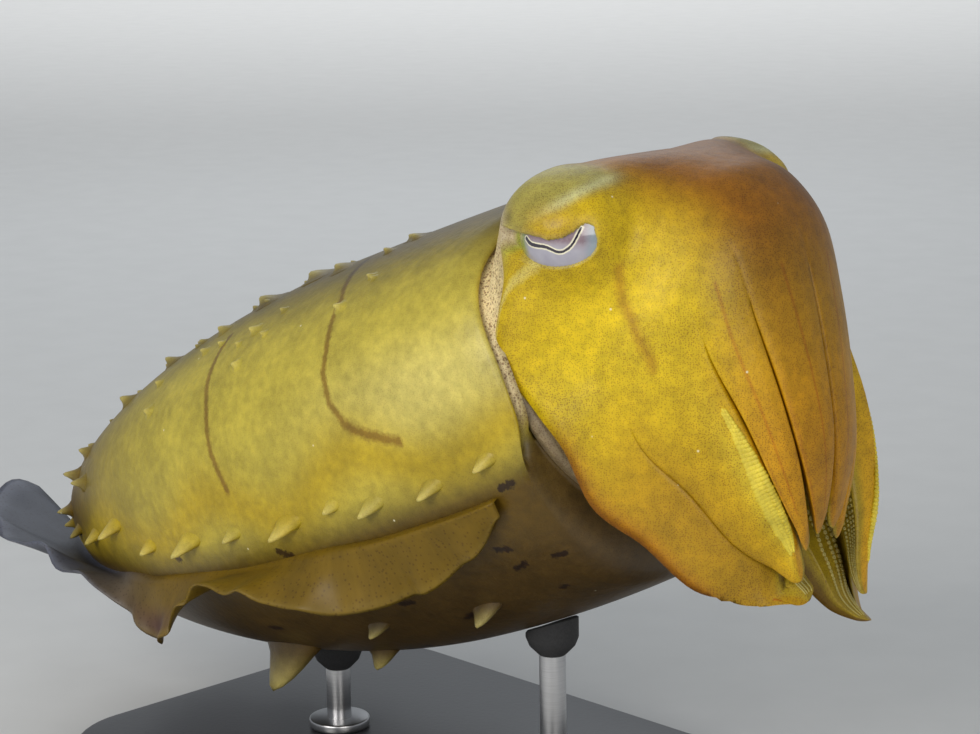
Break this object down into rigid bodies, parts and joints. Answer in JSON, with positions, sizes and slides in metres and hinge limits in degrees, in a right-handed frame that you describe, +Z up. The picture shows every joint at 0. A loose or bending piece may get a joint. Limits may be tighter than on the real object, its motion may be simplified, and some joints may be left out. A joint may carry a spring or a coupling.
{
  "type": "cuttlefish display model",
  "caption": "Life-size still model of a swimming broadclub cuttlefish with drooping arms, on a flat display stand with short rods.",
  "frame": {"origin": "middle of the flat underside of the stand's base", "axes": "+X towards the animal's head along the body, +Y towards its left side, +Z up"},
  "size_m": [0.3686, 0.1606, 0.2167],
  "materials": {
    "mantle_skin": "wet mottled skin, pale cream-yellow",
    "head_skin": "wet stippled skin, golden yellow",
    "arm_skin": "wet stippled skin, orange-yellow",
    "eye_finish": "wet, silvery violet with a dark W-shaped pupil",
    "fin_skin": "thin grey-violet skin",
    "funnel_skin": "wet brownish skin",
    "base_finish": "satin black",
    "rod_finish": "brushed"
  },
  "bodies": {
    "root": {"mantle": "mantle_skin", "head": "head_skin", "eye_right": "eye_finish", "eye_left": "eye_finish", "arm_right_1_base": "arm_skin", "arm_right_1_tip": "arm_skin", "arm_right_2_base": "arm_skin", "arm_right_2_tip": "arm_skin", "arm_right_3_base": "arm_skin", "arm_right_3_tip": "arm_skin", "arm_right_4_base": "arm_skin", "arm_right_4_tip": "arm_skin", "arm_left_1_base": "arm_skin", "arm_left_1_tip": "arm_skin", "arm_left_2_base": "arm_skin", "arm_left_2_tip": "arm_skin", "arm_left_3_base": "arm_skin", "arm_left_3_tip": "arm_skin", "arm_left_4_base": "arm_skin", "arm_left_4_tip": "arm_skin", "fin_right": "fin_skin", "fin_left": "fin_skin", "funnel": "funnel_skin", "stand_base": "base_finish", "stand_rod_front": "rod_finish", "stand_rod_rear": "rod_finish"}
  },
  "joints": []
}
